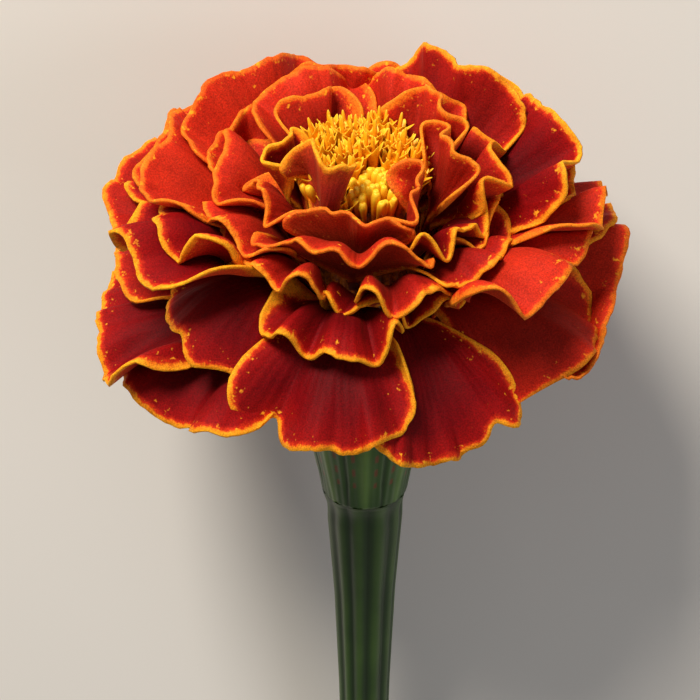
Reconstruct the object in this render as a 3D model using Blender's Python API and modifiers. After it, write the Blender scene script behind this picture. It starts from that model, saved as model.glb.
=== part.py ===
"""A double French marigold, picked and lying on its side: stalk, bract cup, eye florets and ray petals.

Run with: blender --background --python part.py
Units are metres in Blender; the sizes below are in millimetres and go through MM.
The head is modelled upright in its own frame, with the mouth of the bract cup at the origin, +Z along the
flower's axis, -Y its front and +X its right. One empty then lays the whole flower down: it rests on the
petals at its back and on the cut end of the stalk, and looks along +Y.
"""

import math

import bmesh
import bpy
import numpy as np
from mathutils import Vector
from mathutils.bvhtree import BVHTree

MM = 0.001

# Driving dimensions, in millimetres and degrees
LEAN = 16.0  # how far the flower's axis points up from the surface it lies on
PETAL_THICKNESS = 0.45
PETAL_GAP = 0.45  # clear space kept between two petals
SEAT_GAP = 0.3  # between parts that stand on or against each other
CLAW_HALF_WIDTH = 0.55
CLAW_SHARE = 0.16  # of a petal's length
CORNER_ROUNDING = 0.45

CUP_LENGTH = 16.0
CUP_MOUTH_RADIUS = 6.1
CUP_WALL = 0.7
CUP_FLOOR = -6.0  # where the florets stand inside the cup
BRACT_TIPS = 8
BRACT_NOTCH_DEPTH = 2.6
BRACT_NOTCH_HALF_WIDTH = 1.9

# The cup's outer side: radius at distances below its mouth
CUP = ((0, CUP_MOUTH_RADIUS), (4, 6.4), (8, 6.1), (12.5, 5.05), (CUP_LENGTH, 4.55))

STALK_LENGTH = 57.0
STALK_CUT_RADIUS = 2.4
# Radius at distances below the stalk's top, which swells under the cup
STALK = ((0, 4.4), (3, 4.15), (14, 3.4), (27, 2.9), (40, 2.6), (STALK_LENGTH, STALK_CUT_RADIUS))

# Bundle of floret tubes that carries the petals and opens as the eye: radius at heights above the cup's mouth
BUNDLE = ((-5.7, 4.2), (0, 4.3), (8, 4.4), (14, 4.8), (18, 5.6), (21, 6.2), (23.5, 5.6), (25, 3.6))
EYE_TOP = 25.8
EYE_SHOULDER = (25.6, 1.6)

# Height of the cup's mouth when the cut end of the stalk rests on the surface
SLOPE = math.radians(LEAN)
HEAD_HEIGHT = math.sin(SLOPE) * (CUP_LENGTH + SEAT_GAP + STALK_LENGTH) + math.cos(SLOPE) * STALK_CUT_RADIUS

# Shape that a ray petal has unless its line below says otherwise
USUAL = {
    "fan": 52,  # half angle of the blade's fan, degrees
    "cup": 0.0,  # curvature across the blade, 1/mm, edges up where positive
    "wave": 0.5,  # height of the slow waves along the margin, mm
    "waves": 2.0,
    "phase": 0.3,
    "roll": 0.0,  # turn about the petal's own length, degrees
    "start": 60,  # direction in which the claw leaves the bundle, degrees above level
    "rise": 0.35,  # how far that direction carries, as a share of the chord
    "carry": 0.40,  # the same for the tip's direction
}


def petal(name, turn, reach, height, tip, foot, **shape):
    """One ray petal. turn: degrees from the front, positive to the right; reach and height: where its tip is,
    from the axis and above the cup's mouth; tip: direction of its end above level; foot: height where its
    claw starts."""
    place = {"name": name, "turn": turn, "reach": reach, "height": height, "tip": tip, "foot": foot}
    return {**USUAL, **place, **shape}


PETALS = [
    # skirt: the lowest whorl, which droops over the cup at the front and lies on the surface at the back
    petal("skirt_back", 176, 25.0, 1.0, -25, 0.3, phase=0.7),
    petal("skirt_low_right", 104, 24.0, 5.0, -25, 0.4, fan=48, phase=0.6),
    petal("skirt_low_front", 2, 14.5, 1.6, -60, 0.5, fan=50, start=65, rise=0.45, phase=0.4),
    petal("skirt_front_left", -60, 24.0, 2.2, -55, 0.6, fan=45, start=70, rise=0.45, phase=0.6),
    petal("skirt_low_right_front", 45, 17.0, 1.2, -55, 0.9, fan=38, start=65, rise=0.45, phase=0.1),
    petal("skirt_back_left", -148, 26.0, 3.0, -20, 1.0, phase=0.2),
    petal("skirt_left", -86, 27.4, 4.2, -30, 1.2, fan=45, phase=0.5),
    petal("skirt_back_right", 145, 26.5, 3.5, -20, 1.4, phase=0.4),
    petal("skirt_left_back", -117, 27.0, 8.0, -15, 2.4, phase=0.8),
    petal("skirt_right", 84, 26.8, 13.0, -25, 3.0, fan=41, waves=3, phase=0.7),
    # lower whorl
    petal("lower_back", 168, 24.0, 8.0, -10, 4.0, phase=0.1),
    petal("lower_back_left", -160, 24.0, 11.0, 0, 4.5, phase=0.6),
    petal("lower_right_back", 118, 26.0, 14.0, 0, 5.2, fan=48, phase=0.9),
    petal("skirt_right_front", 63, 24.0, 8.0, -45, 6.4, fan=38, start=65, rise=0.45, phase=0.2),
    petal("skirt_front_right", 25, 20.0, 0.4, -64, 7.0, fan=42, start=62, rise=0.5, carry=0.5, waves=2,
          phase=0.8),
    petal("lower_front_left", -55, 21.4, 9.4, -58, 7.4, fan=40, start=65, rise=0.5, carry=0.5, phase=0.4),
    petal("skirt_front", -13, 20.8, 3.4, -60, 7.8, fan=45, start=62, rise=0.5, carry=0.5, phase=0.1,
          cup=-0.02),
    petal("lower_front", -14, 17.4, 12.2, -35, 8.6, fan=52, start=62, rise=0.42, waves=3.5, phase=0.0),
    # middle whorl
    petal("middle_left", -80, 25.0, 18.0, -25, 7.9, fan=44, waves=3, phase=0.9),
    petal("middle_left_back", -108, 26.0, 18.4, 5, 6.6, fan=42),
    petal("middle_back", -178, 21.0, 17.0, 5, 7.2, phase=0.5),
    petal("middle_right_front", 64, 22.6, 17.4, -25, 7.6, fan=44, waves=3, phase=0.5),
    petal("middle_back_right", 147, 21.0, 20.0, 10, 8.0, phase=0.2),
    petal("middle_front", 6, 12.6, 15.0, -30, 9.3, fan=58, waves=3),
    petal("middle_front_right", 33, 14.0, 14.2, -35, 9.1, fan=46, waves=3),
    petal("middle_back_left", -120, 23.0, 22.0, 25, 8.2, fan=45),
    petal("middle_right", 96, 24.6, 18.4, -5, 8.4, fan=38, roll=-14, phase=0.2),
    petal("middle_right_back", 121, 22.0, 21.5, 25, 8.8, fan=46),
    # upper whorl
    petal("upper_left", -80, 21.0, 20.2, -15, 9.2, fan=42, waves=3, phase=0.1),
    petal("upper_front_right", 26, 15.3, 16.8, -30, 9.8, fan=50, waves=3),
    petal("upper_front_left", -50, 15.4, 17.5, -30, 10.0, fan=50, waves=3),
    petal("upper_right_back", 114, 20.0, 26.0, 45, 9.6, fan=50, waves=3),
    petal("upper_left_back", -102, 21.0, 24.4, 34, 10.2, fan=42),
    petal("upper_right_front", 58, 15.7, 18.2, -20, 10.4, fan=48),
    petal("upper_back", -174, 16.5, 25.2, 50, 10.6, fan=44, phase=0.8),
    petal("upper_back_left", -136, 18.3, 27.6, 55, 10.9, fan=50),
    petal("upper_back_right", 141, 15.4, 29.0, 68, 11.4, fan=44),
    # crown: the ring round the eye
    petal("crown_left_front", -72, 15.7, 20.2, -10, 11.8, fan=46, start=50),
    petal("crown_right_front", 79, 13.4, 20.6, 0, 12.0, fan=46, start=50),
    petal("crown_front", -12, 12.2, 21.0, 0, 12.2, fan=58, waves=2.4, phase=0.6, start=58),
    petal("crown_left_back", -117, 14.6, 25.0, 45, 12.9, fan=46, start=50),
    petal("crown_back", -171, 13.6, 27.6, 60, 13.0, fan=44, start=50),
    petal("crown_right", 52, 13.0, 20.4, 5, 13.6, fan=52, waves=3, cup=0.08, start=55),
    petal("crown_left", -98, 15.0, 23.5, 10, 14.0, fan=50, waves=2, start=50),
    petal("crown_back_right", 157, 12.0, 27.6, 40, 14.2, fan=46, start=50),
    petal("crown_right_back", 95, 13.6, 24.6, 45, 14.6, fan=46, waves=3, start=50),
    petal("crown_back_left", -150, 13.0, 27.2, 30, 14.8, fan=46, start=50),
    # heart: small inner petals that stand half folded against the eye
    petal("heart_front", -10, 9.2, 23.6, 60, 15.0, fan=56, waves=2, phase=0.6, start=64),
    petal("heart_left_front", -70, 11.6, 23.0, 20, 15.8, fan=44, waves=2, start=70),
    petal("heart_back_right", 124, 9.0, 28.6, 70, 16.0, fan=40, cup=0.1, start=70),
    petal("heart_right", 82, 8.6, 27.2, 80, 16.4, fan=38, start=70, roll=35),
    petal("heart_back_left", -140, 9.4, 27.8, 60, 16.6, fan=40, cup=0.1, start=70),
    petal("heart_right_front", 40, 9.2, 25.6, 62, 16.8, fan=44, start=70, roll=15),
    petal("heart_folded_front", -38, 7.6, 28.4, 88, 17.2, fan=50, start=76, roll=-45),
    petal("heart_left", -84, 8.4, 27.0, 76, 17.4, fan=36, start=72, roll=-40),
]

GRID_CLAW_ROWS = 1
GRID_BLADE_ROWS = 4
GRID_COLUMNS = 8


def bundle_radius(height):
    heights, radii = zip(*BUNDLE)
    return float(np.interp(height, heights, radii))


def ease(low, high, value):
    t = np.clip((value - low) / (high - low), 0, 1)
    return t * t * (3 - 2 * t)


def midline(p):
    """Points, directions and lengths along the petal's middle, in (distance from axis, height)."""
    foot = np.array([bundle_radius(p["foot"]) + SEAT_GAP + PETAL_THICKNESS / 2, p["foot"]])
    tip = np.array([p["reach"], p["height"]])
    chord = np.linalg.norm(tip - foot)
    start, end = math.radians(p["start"]), math.radians(p["tip"])
    leave = foot + p["rise"] * chord * np.array([math.cos(start), math.sin(start)])
    arrive = tip - p["carry"] * chord * np.array([math.cos(end), math.sin(end)])
    t = np.linspace(0, 1, 65)[:, None]
    line = (1 - t) ** 3 * foot + 3 * (1 - t) ** 2 * t * leave + 3 * (1 - t) * t**2 * arrive + t**3 * tip
    along = np.gradient(line, axis=0)
    along /= np.linalg.norm(along, axis=1)[:, None]
    lengths = np.concatenate([[0], np.cumsum(np.linalg.norm(np.diff(line, axis=0), axis=1))])
    return line, along, lengths


def flat_blade(p, length, claw_rows, blade_rows, columns):
    """The petal laid flat: distance across and along, share of the way to the margin and place in the fan."""
    across = np.linspace(-1, 1, columns + 1)
    fan = math.radians(p["fan"])
    claw = CLAW_SHARE * length
    margin = (length - claw) * (1 - CORNER_ROUNDING * np.abs(across) ** 6)
    x, y, share = [], [], []
    for row in range(claw_rows):
        x.append(CLAW_HALF_WIDTH * across)
        y.append(np.full_like(across, claw * row / claw_rows))
        share.append(np.zeros_like(across))
    for row in range(blade_rows + 1):
        s = row / blade_rows
        x.append(CLAW_HALF_WIDTH * across * (1 - s) + margin * s * np.sin(across * fan))
        y.append(claw + margin * s * np.cos(across * fan))
        share.append(np.full_like(across, s))
    return np.array(x), np.array(y), np.array(share), np.broadcast_to(across, np.shape(x))


def petal_grid(p, claw_rows, blade_rows, columns):
    """The petal's middle surface as rows of points in the head's frame, in millimetres, and its upper side."""
    line, along, lengths = midline(p)
    x, y, share, across = flat_blade(p, lengths[-1], claw_rows, blade_rows, columns)
    lift = p["wave"] * ease(0.3, 1, share) * np.sin(math.tau * (p["waves"] * across / 2 + p["phase"]))
    if p["cup"]:
        bow = abs(p["cup"])
        lift = lift + math.copysign(1, p["cup"]) * (1 - np.cos(bow * x)) / bow
        x = np.sin(bow * x) / bow
    held = np.clip(y, 0, lengths[-1])
    slope_out = np.interp(held, lengths, along[:, 0])
    slope_up = np.interp(held, lengths, along[:, 1])
    out = np.interp(held, lengths, line[:, 0]) + (y - held) * slope_out
    up = np.interp(held, lengths, line[:, 1]) + (y - held) * slope_up
    roll = math.radians(p["roll"]) * ease(0, 0.5, held / lengths[-1])
    side = x * np.cos(roll) - lift * np.sin(roll)
    lift = x * np.sin(roll) + lift * np.cos(roll)
    out, up = out - slope_up * lift, up + slope_out * lift
    turn = math.radians(p["turn"])
    ahead = np.array([math.sin(turn), -math.cos(turn), 0])
    sideways = np.array([math.cos(turn), math.sin(turn), 0])
    axis = np.array([0, 0, 1])
    grid = out[..., None] * ahead + side[..., None] * sideways + up[..., None] * axis
    upward = slope_out[..., None] * axis - slope_up[..., None] * ahead
    return grid, upward


def triangles_of(rows, columns, first=0):
    """Corner numbers of a grid's triangles, facing the petal's upper side."""
    corner = np.arange(rows * columns).reshape(rows, columns) + first
    a, b, c, d = corner[:-1, :-1], corner[1:, :-1], corner[1:, 1:], corner[:-1, 1:]
    return np.concatenate([np.stack([a, b, c], -1).reshape(-1, 3), np.stack([a, c, d], -1).reshape(-1, 3)])


def relaxed(needed, rounds=4):
    """The smoothest shift over the grid that is nowhere less than needed and leaves the foot in place."""
    shift = needed.copy()
    for _ in range(rounds):
        edge = np.pad(shift, 1, mode="edge")
        around = (edge[:-2, 1:-1] + edge[2:, 1:-1] + edge[1:-1, :-2] + edge[1:-1, 2:]) / 4
        shift = np.maximum(needed, around)
        shift[0] = 0
    return shift


def between(grid, finer):
    """The grid with points added between its own, so that a test sees the middle of every facet too."""
    for axis in (0, 1):
        count = grid.shape[axis]
        place = np.linspace(0, count - 1, (count - 1) * finer + 1)
        low = np.minimum(place.astype(int), count - 2)
        share = (place - low).reshape((-1, 1, 1) if axis == 0 else (1, -1, 1))
        grid = np.take(grid, low, axis) * (1 - share) + np.take(grid, low + 1, axis) * share
    return grid


def laid_under(grid, upward, tree, gap, reach=5.0, rounds=3, finer=3):
    """Pushes a petal away from its upper side until it clears every petal that stands above it."""
    for _ in range(rounds):
        points, directions = between(grid, finer), between(upward, finer)
        wanted = np.zeros(points.shape[:2])
        for place in np.ndindex(wanted.shape):
            direction = Vector(directions[place]).normalized()
            start = Vector(points[place]) - reach * direction
            _, _, _, distance = tree.ray_cast(start, direction, reach + gap)
            if distance is not None and place[0] >= finer:
                wanted[place] = reach + gap - distance
        if not wanted.any():
            break
        wanted = np.pad(wanted, finer)
        needed = np.zeros(grid.shape[:2])
        for row, column in np.ndindex(needed.shape):
            window = wanted[row * finer + 1 : (row + 2) * finer, column * finer + 1 : (column + 2) * finer]
            needed[row, column] = window.max()
        grid = grid - relaxed(needed)[..., None] * upward
    return grid


def clear_of_bundle(grid):
    """Keeps a petal outside the bundle of florets."""
    distance = np.hypot(grid[..., 0], grid[..., 1])
    least = np.vectorize(bundle_radius)(grid[..., 2]) + SEAT_GAP + PETAL_THICKNESS / 2
    inside = (distance < least) & (grid[..., 2] < EYE_TOP)
    scale = np.where(inside, least / distance, 1)
    return grid * np.stack([scale, scale, np.ones_like(scale)], axis=-1)


def pressed_by_floor(grid):
    """Bends whatever would reach below the surface flat against it."""
    down = np.array([0, math.cos(math.radians(LEAN)), -math.sin(math.radians(LEAN))])
    height = HEAD_HEIGHT - grid @ down
    soft = 0.8
    rest = PETAL_THICKNESS / 2 + soft
    pressed = np.where(height < rest, rest - soft + soft * np.exp((height - rest) / soft), height)
    return grid + (height - pressed)[..., None] * down


def stack_petals(claw_rows, blade_rows, columns, gap):
    """Every petal's grid, each laid under the ones that stand above it on the bundle."""
    grids, corners, faces = {}, [], []
    for p in sorted(PETALS, key=lambda one: -one["foot"]):
        grid, upward = petal_grid(p, claw_rows, blade_rows, columns)
        grid = clear_of_bundle(grid)
        if corners:
            tree = BVHTree.FromPolygons([Vector(c) for c in corners], faces)
            grid = laid_under(grid, upward, tree, gap)
        grid = pressed_by_floor(grid)
        faces += triangles_of(*grid.shape[:2], first=len(corners)).tolist()
        corners += grid.reshape(-1, 3).tolist()
        grids[p["name"]] = grid
    return grids


def material(name, colour, roughness):
    made = bpy.data.materials.new(name)
    made.use_nodes = True
    shader = made.node_tree.nodes["Principled BSDF"]
    shader.inputs["Base Color"].default_value = (*colour, 1)
    shader.inputs["Roughness"].default_value = roughness
    shader.inputs["Metallic"].default_value = 0
    return made


def add(name, mesh_or_curve, collection, finish, parent):
    made = bpy.data.objects.new(name, mesh_or_curve)
    made.data.materials.append(finish)
    collection.objects.link(made)
    made.parent = parent
    return made


def turned(name, profile, steps, collection, finish, parent):
    """A turned solid. The profile runs down its outer side, in millimetres of (radius, height)."""
    mesh = bpy.data.meshes.new(name)
    corners = [(r * MM, 0, z * MM) for r, z in profile]
    mesh.from_pydata(corners, [(i, i + 1) for i in range(len(corners) - 1)], [])
    made = add(name, mesh, collection, finish, parent)
    screw = made.modifiers.new("turn", "SCREW")
    screw.angle = math.tau
    screw.steps = screw.render_steps = steps
    screw.use_merge_vertices = True
    screw.merge_threshold = 0.00001
    screw.use_smooth_shade = True
    return made


def build_petals(collection, finish, parent):
    grids = stack_petals(GRID_CLAW_ROWS, GRID_BLADE_ROWS, GRID_COLUMNS, PETAL_THICKNESS + PETAL_GAP)
    for name, grid in grids.items():
        mesh = bpy.data.meshes.new(name)
        sheet = bmesh.new()
        bmesh.ops.create_grid(sheet, x_segments=grid.shape[1] - 1, y_segments=grid.shape[0] - 1, size=1)
        sheet.verts.ensure_lookup_table()
        for vertex, place in zip(sheet.verts, grid.reshape(-1, 3) * MM):
            vertex.co = place
        bmesh.ops.reverse_faces(sheet, faces=sheet.faces)
        sheet.to_mesh(mesh)
        sheet.free()
        mesh.shade_smooth()
        made = add("petal_" + name, mesh, collection, finish, parent)
        thick = made.modifiers.new("thickness", "SOLIDIFY")
        thick.thickness = PETAL_THICKNESS * MM
        thick.offset = 0


def build_eye(collection, finish, parent):
    """The bundle of tubular florets that fills the cup and opens as the flower's eye."""
    side = [(radius, height) for height, radius in reversed(BUNDLE)]
    profile = [(0, EYE_TOP), EYE_SHOULDER[::-1], *side, (0, side[-1][1])]
    turned("eye_florets", profile, 24, collection, finish, parent)


def build_cup(collection, helpers, finish, parent):
    """The bracts grown together into a cup, with their tips free round its mouth."""
    inner = CUP_MOUTH_RADIUS - CUP_WALL
    outside = [(radius, -down) for down, radius in CUP]
    inside = [(0, CUP_FLOOR), (inner - 1.2, CUP_FLOOR), (inner - 0.3, CUP_FLOOR + 1.5), (inner, 0)]
    profile = [(inner, 0), *outside, (0, -CUP_LENGTH), *inside]
    cup = turned("bract_cup", profile, 32, collection, finish, parent)
    cutter_mesh = bpy.data.meshes.new("bract_notches")
    cutters = bmesh.new()
    for tip in range(BRACT_TIPS):
        angle = math.tau * (tip + 0.5) / BRACT_TIPS
        notch = bmesh.ops.create_cone(
            cutters,
            cap_ends=True,
            segments=4,
            radius1=0,
            radius2=BRACT_NOTCH_HALF_WIDTH * MM,
            depth=BRACT_NOTCH_DEPTH * MM,
        )
        for vertex in notch["verts"]:
            x, y, z = vertex.co
            x, y = (x + y) * math.sqrt(0.5), (y - x) * math.sqrt(0.5)
            out = CUP_MOUTH_RADIUS * MM + x * 1.6
            vertex.co = (
                out * math.cos(angle) - y * math.sin(angle),
                out * math.sin(angle) + y * math.cos(angle),
                z - (BRACT_NOTCH_DEPTH / 2 - 0.1) * MM,
            )
    cutters.to_mesh(cutter_mesh)
    cutters.free()
    cutter = bpy.data.objects.new("bract_notches", cutter_mesh)
    helpers.objects.link(cutter)
    cutter.parent = parent
    cutter.hide_render = True
    cutter.display_type = "WIRE"
    cut = cup.modifiers.new("notches", "BOOLEAN")
    cut.object = cutter
    cut.operation = "DIFFERENCE"
    cut.solver = "EXACT"


def build_stalk(collection, finish, parent):
    """The hollow-looking stalk: swollen under the cup, thin and cut square at its end."""
    top = -CUP_LENGTH - SEAT_GAP
    curve = bpy.data.curves.new("stalk", "CURVE")
    curve.dimensions = "3D"
    curve.bevel_depth = MM
    curve.bevel_resolution = 4
    curve.use_fill_caps = True
    spline = curve.splines.new("POLY")
    spline.points.add(len(STALK) - 1)
    for point, (down, radius) in zip(spline.points, STALK):
        point.co = (0, 0, (top - down) * MM, 1)
        point.radius = radius
    add("stalk", curve, collection, finish, parent)


def set_down(head, collection):
    """Moves the flower so that the middle of its footprint is the origin and its lowest point is at z = 0."""
    bpy.context.view_layer.update()
    graph = bpy.context.evaluated_depsgraph_get()
    corners = []
    for part in collection.objects:
        if part.type != "EMPTY":
            solid = part.evaluated_get(graph)
            mesh = solid.to_mesh()
            corners += [solid.matrix_world @ vertex.co for vertex in mesh.vertices]
            solid.to_mesh_clear()
    low, high = np.min(corners, axis=0), np.max(corners, axis=0)
    head.location -= Vector(((low[0] + high[0]) / 2, (low[1] + high[1]) / 2, low[2]))


def main():
    for old in list(bpy.data.objects):
        bpy.data.objects.remove(old)
    flower = bpy.data.collections.new("marigold")
    helpers = bpy.data.collections.new("cutters")
    bpy.context.scene.collection.children.link(flower)
    bpy.context.scene.collection.children.link(helpers)
    head = bpy.data.objects.new("flower_head", None)
    flower.objects.link(head)
    head.location = (0, 0, HEAD_HEIGHT * MM)
    head.rotation_euler = (-math.radians(90 - LEAN), 0, 0)

    red = material("petal_red", (0.48, 0.02, 0.012), 0.55)
    gold = material("eye_gold", (0.80, 0.42, 0.02), 0.6)
    green = material("cup_green", (0.10, 0.20, 0.05), 0.5)
    stem_green = material("stalk_green", (0.07, 0.15, 0.03), 0.45)
    build_petals(flower, red, head)
    build_eye(flower, gold, head)
    build_cup(flower, helpers, green, head)
    build_stalk(flower, stem_green, head)
    set_down(head, flower)


main()
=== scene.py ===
"""A double French marigold, picked and laid on a pale surface: dark red ray petals with frilled gold edges,
an eye of yellow tube florets with buds among them, a ribbed green bract cup and a grooved, cut stalk.

The head is described upright in its own frame, in millimetres: the mouth of the bract cup at the origin, +Z
along the flower's axis, -Y its front and +X its right. on_table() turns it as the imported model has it.
"""

import math

import bpy
import numpy as np
from mathutils import Matrix, Vector
from mathutils.bvhtree import BVHTree


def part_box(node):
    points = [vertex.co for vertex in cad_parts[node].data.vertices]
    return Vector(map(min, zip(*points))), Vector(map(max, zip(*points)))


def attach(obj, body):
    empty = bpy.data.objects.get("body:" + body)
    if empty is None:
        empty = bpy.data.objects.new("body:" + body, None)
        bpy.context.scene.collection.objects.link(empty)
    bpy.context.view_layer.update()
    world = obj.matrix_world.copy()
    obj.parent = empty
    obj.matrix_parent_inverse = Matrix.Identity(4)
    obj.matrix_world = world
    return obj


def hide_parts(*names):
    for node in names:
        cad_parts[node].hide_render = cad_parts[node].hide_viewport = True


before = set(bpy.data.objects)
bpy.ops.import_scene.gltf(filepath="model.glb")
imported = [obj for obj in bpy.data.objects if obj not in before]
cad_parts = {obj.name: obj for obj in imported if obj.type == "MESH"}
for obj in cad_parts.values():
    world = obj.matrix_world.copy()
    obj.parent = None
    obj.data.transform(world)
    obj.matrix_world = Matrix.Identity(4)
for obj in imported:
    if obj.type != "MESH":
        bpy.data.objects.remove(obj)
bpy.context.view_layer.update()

MM = 0.001  # sizes below are in millimetres unless a comment says otherwise
LEAN = 16.0  # how far the flower's axis points up from the surface, degrees

# Bundle of floret tubes that carries the petals and opens as the eye: (height above the mouth, radius)
BUNDLE = (
    (-5.7, 4.2),
    (0.0, 4.3),
    (8.0, 4.4),
    (14.0, 4.8),
    (18.0, 5.6),
    (21.0, 6.2),
    (23.5, 5.6),
    (25.0, 3.6),
)
EYE_TOP = 25.8
EYE_SHOULDER = (25.6, 1.6)  # (height, radius) where the eye's top rounds over

CUP_LENGTH = 16.0
CUP_BELLY = 6.4
# (distance below the mouth, radius)
CUP = ((0, 6.1), (4, CUP_BELLY), (8, 6.0), (12.5, 5.1), (CUP_LENGTH, 4.55))
CUP_WALL = 0.45
BRACT_TIPS = 8
BRACT_NOTCH_DEPTH = 2.6
KEEL_HEIGHT = 0.16
SEAM_DEPTH = 0.22
TIP_LEAN_IN = 0.35
GLAND_SPACING = 2.1  # from one oil gland to the next along a bract
GLAND_HALF_LENGTH = 0.55
GLAND_HALF_WIDTH = 0.24
SEAT_GAP = 0.3
STALK_LENGTH = 57.0
STALK_CUT_RADIUS = 2.4
STALK = ((0, 4.4), (3, 4.15), (14, 3.4), (27, 2.9), (40, 2.6), (STALK_LENGTH, STALK_CUT_RADIUS))
STALK_RIBS = 11
# Cut face, from the dark rind over the pale ring to the sunken pith: (share of the radius, depth, paleness)
CUT_FACE = (
    (0.955, 0.0, 0.0),
    (0.86, 0.01, 0.35),
    (0.72, 0.08, 0.95),
    (0.5, 0.16, 0.7),
    (0.25, 0.28, 0.45),
    (0.04, 0.32, 0.3),
)

PETAL_THICKNESS = 0.30
PETAL_GAP = 0.22  # between one petal and the next one that lies on it
CLAW_HALF_WIDTH = 0.55
CLAW_SHARE = 0.16  # of the petal's length
CORNER_ROUNDING = 0.45  # share of the blade's length that its two corners lose
FLOOR_SOFTNESS = 0.8  # height in which a petal's droop turns into lying flat


def head_place():
    """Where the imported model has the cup's mouth, found from the box of the eye's florets."""
    low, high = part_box("eye_florets")
    lean = math.radians(LEAN)
    outline = (*BUNDLE, EYE_SHOULDER, (EYE_TOP, 0.0))
    ahead = max(height * math.cos(lean) + radius * math.sin(lean) for height, radius in outline)
    above = math.sin(lean) * (CUP_LENGTH + SEAT_GAP + STALK_LENGTH) + STALK_CUT_RADIUS * math.cos(lean)
    return Vector(((low[0] + high[0]) / 2, high[1] - ahead * MM, above * MM))


HEAD = Matrix.Translation(head_place()) @ Matrix.Rotation(-math.radians(90 - LEAN), 4, "X")


def on_table(points):
    """Points of the head's frame, in millimetres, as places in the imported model's frame, in metres."""
    turn = np.array(HEAD.to_3x3())
    return np.asarray(points) * MM @ turn.T + np.array(HEAD.translation)


def linear(hex_colour):
    """An sRGB hex colour as linear RGBA."""
    parts = [int(hex_colour[i : i + 2], 16) / 255 for i in (1, 3, 5)]
    return (*((p / 12.92 if p <= 0.04045 else ((p + 0.055) / 1.055) ** 2.4) for p in parts), 1.0)


def add(tree, kind, inputs=None, stops=None, **settings):
    """Adds a shader node with its settings, its colour stops if any, and values or links for its inputs."""
    made = tree.nodes.new("ShaderNode" + kind)
    for name, value in settings.items():
        setattr(made, name, value)
    for socket, value in (inputs or {}).items():
        if isinstance(value, bpy.types.NodeSocket):
            tree.links.new(value, made.inputs[socket])
        else:
            made.inputs[socket].default_value = value
    if stops:
        elements = made.color_ramp.elements
        while len(elements) < len(stops):
            elements.new(1.0)
        for element, (place, colour) in zip(elements, stops):
            element.position, element.color = place, linear(colour)
    return made


def new_material(name):
    made = bpy.data.materials.new(name)
    made.use_nodes = True
    made.node_tree.nodes.clear()
    return made, made.node_tree


def finish_material(tree, shader):
    add(tree, "OutputMaterial", {"Surface": shader.outputs["BSDF"]})


# ----------------------------------------------------------------------------------------------------
# Petal shapes
# ----------------------------------------------------------------------------------------------------

# Shape that a ray petal has unless its line below says otherwise
USUAL = {
    "fan": 52,  # half angle of the blade's fan, degrees
    "cup": 0.0,  # curvature across the blade, 1/mm, edges up where positive
    "waves": 2.0,  # slow waves along the margin
    "phase": 0.3,
    "ruffle": 1.3,  # height of those waves, mm
    "frill": 0.85,  # height of the short uneven waves near the edge, mm
    "flat": 0.0,  # from an arched rim at 0 to a straight one at 1
    "notches": (),  # (place across from -1 to 1, depth as a share of the blade, width)
    "roll": 0.0,  # turn about the petal's own length, degrees
    "start": 60,  # direction in which the claw leaves the bundle, degrees above level
    "rise": 0.35,  # how far that direction carries, as a share of the chord
    "carry": 0.40,  # the same for the tip's direction
    "folds": (),  # (across, along, direction, radius, angle): the blade bends up about a line
    # orange is partly painted light: petals in the light were made more orange-red, petals in shade deep red
    "orange": 0.0,  # from a deep red petal at 0 to an orange-red one at 1
}


def petal(name, turn, reach, height, tip, foot, **shape):
    """One ray petal.

    turn: degrees from the front, positive to the right; reach and height: where its tip lies, from the axis
    and above the cup's mouth; tip: direction of its end above level; foot: height where its claw starts.
    """
    placed = {"name": name, "turn": turn, "reach": reach, "height": height, "tip": tip, "foot": foot}
    return {**USUAL, **placed, **shape}


# Each petal's orange is partly its own tone and partly painted light: lit petals more orange, shaded ones
# deep red
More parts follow.
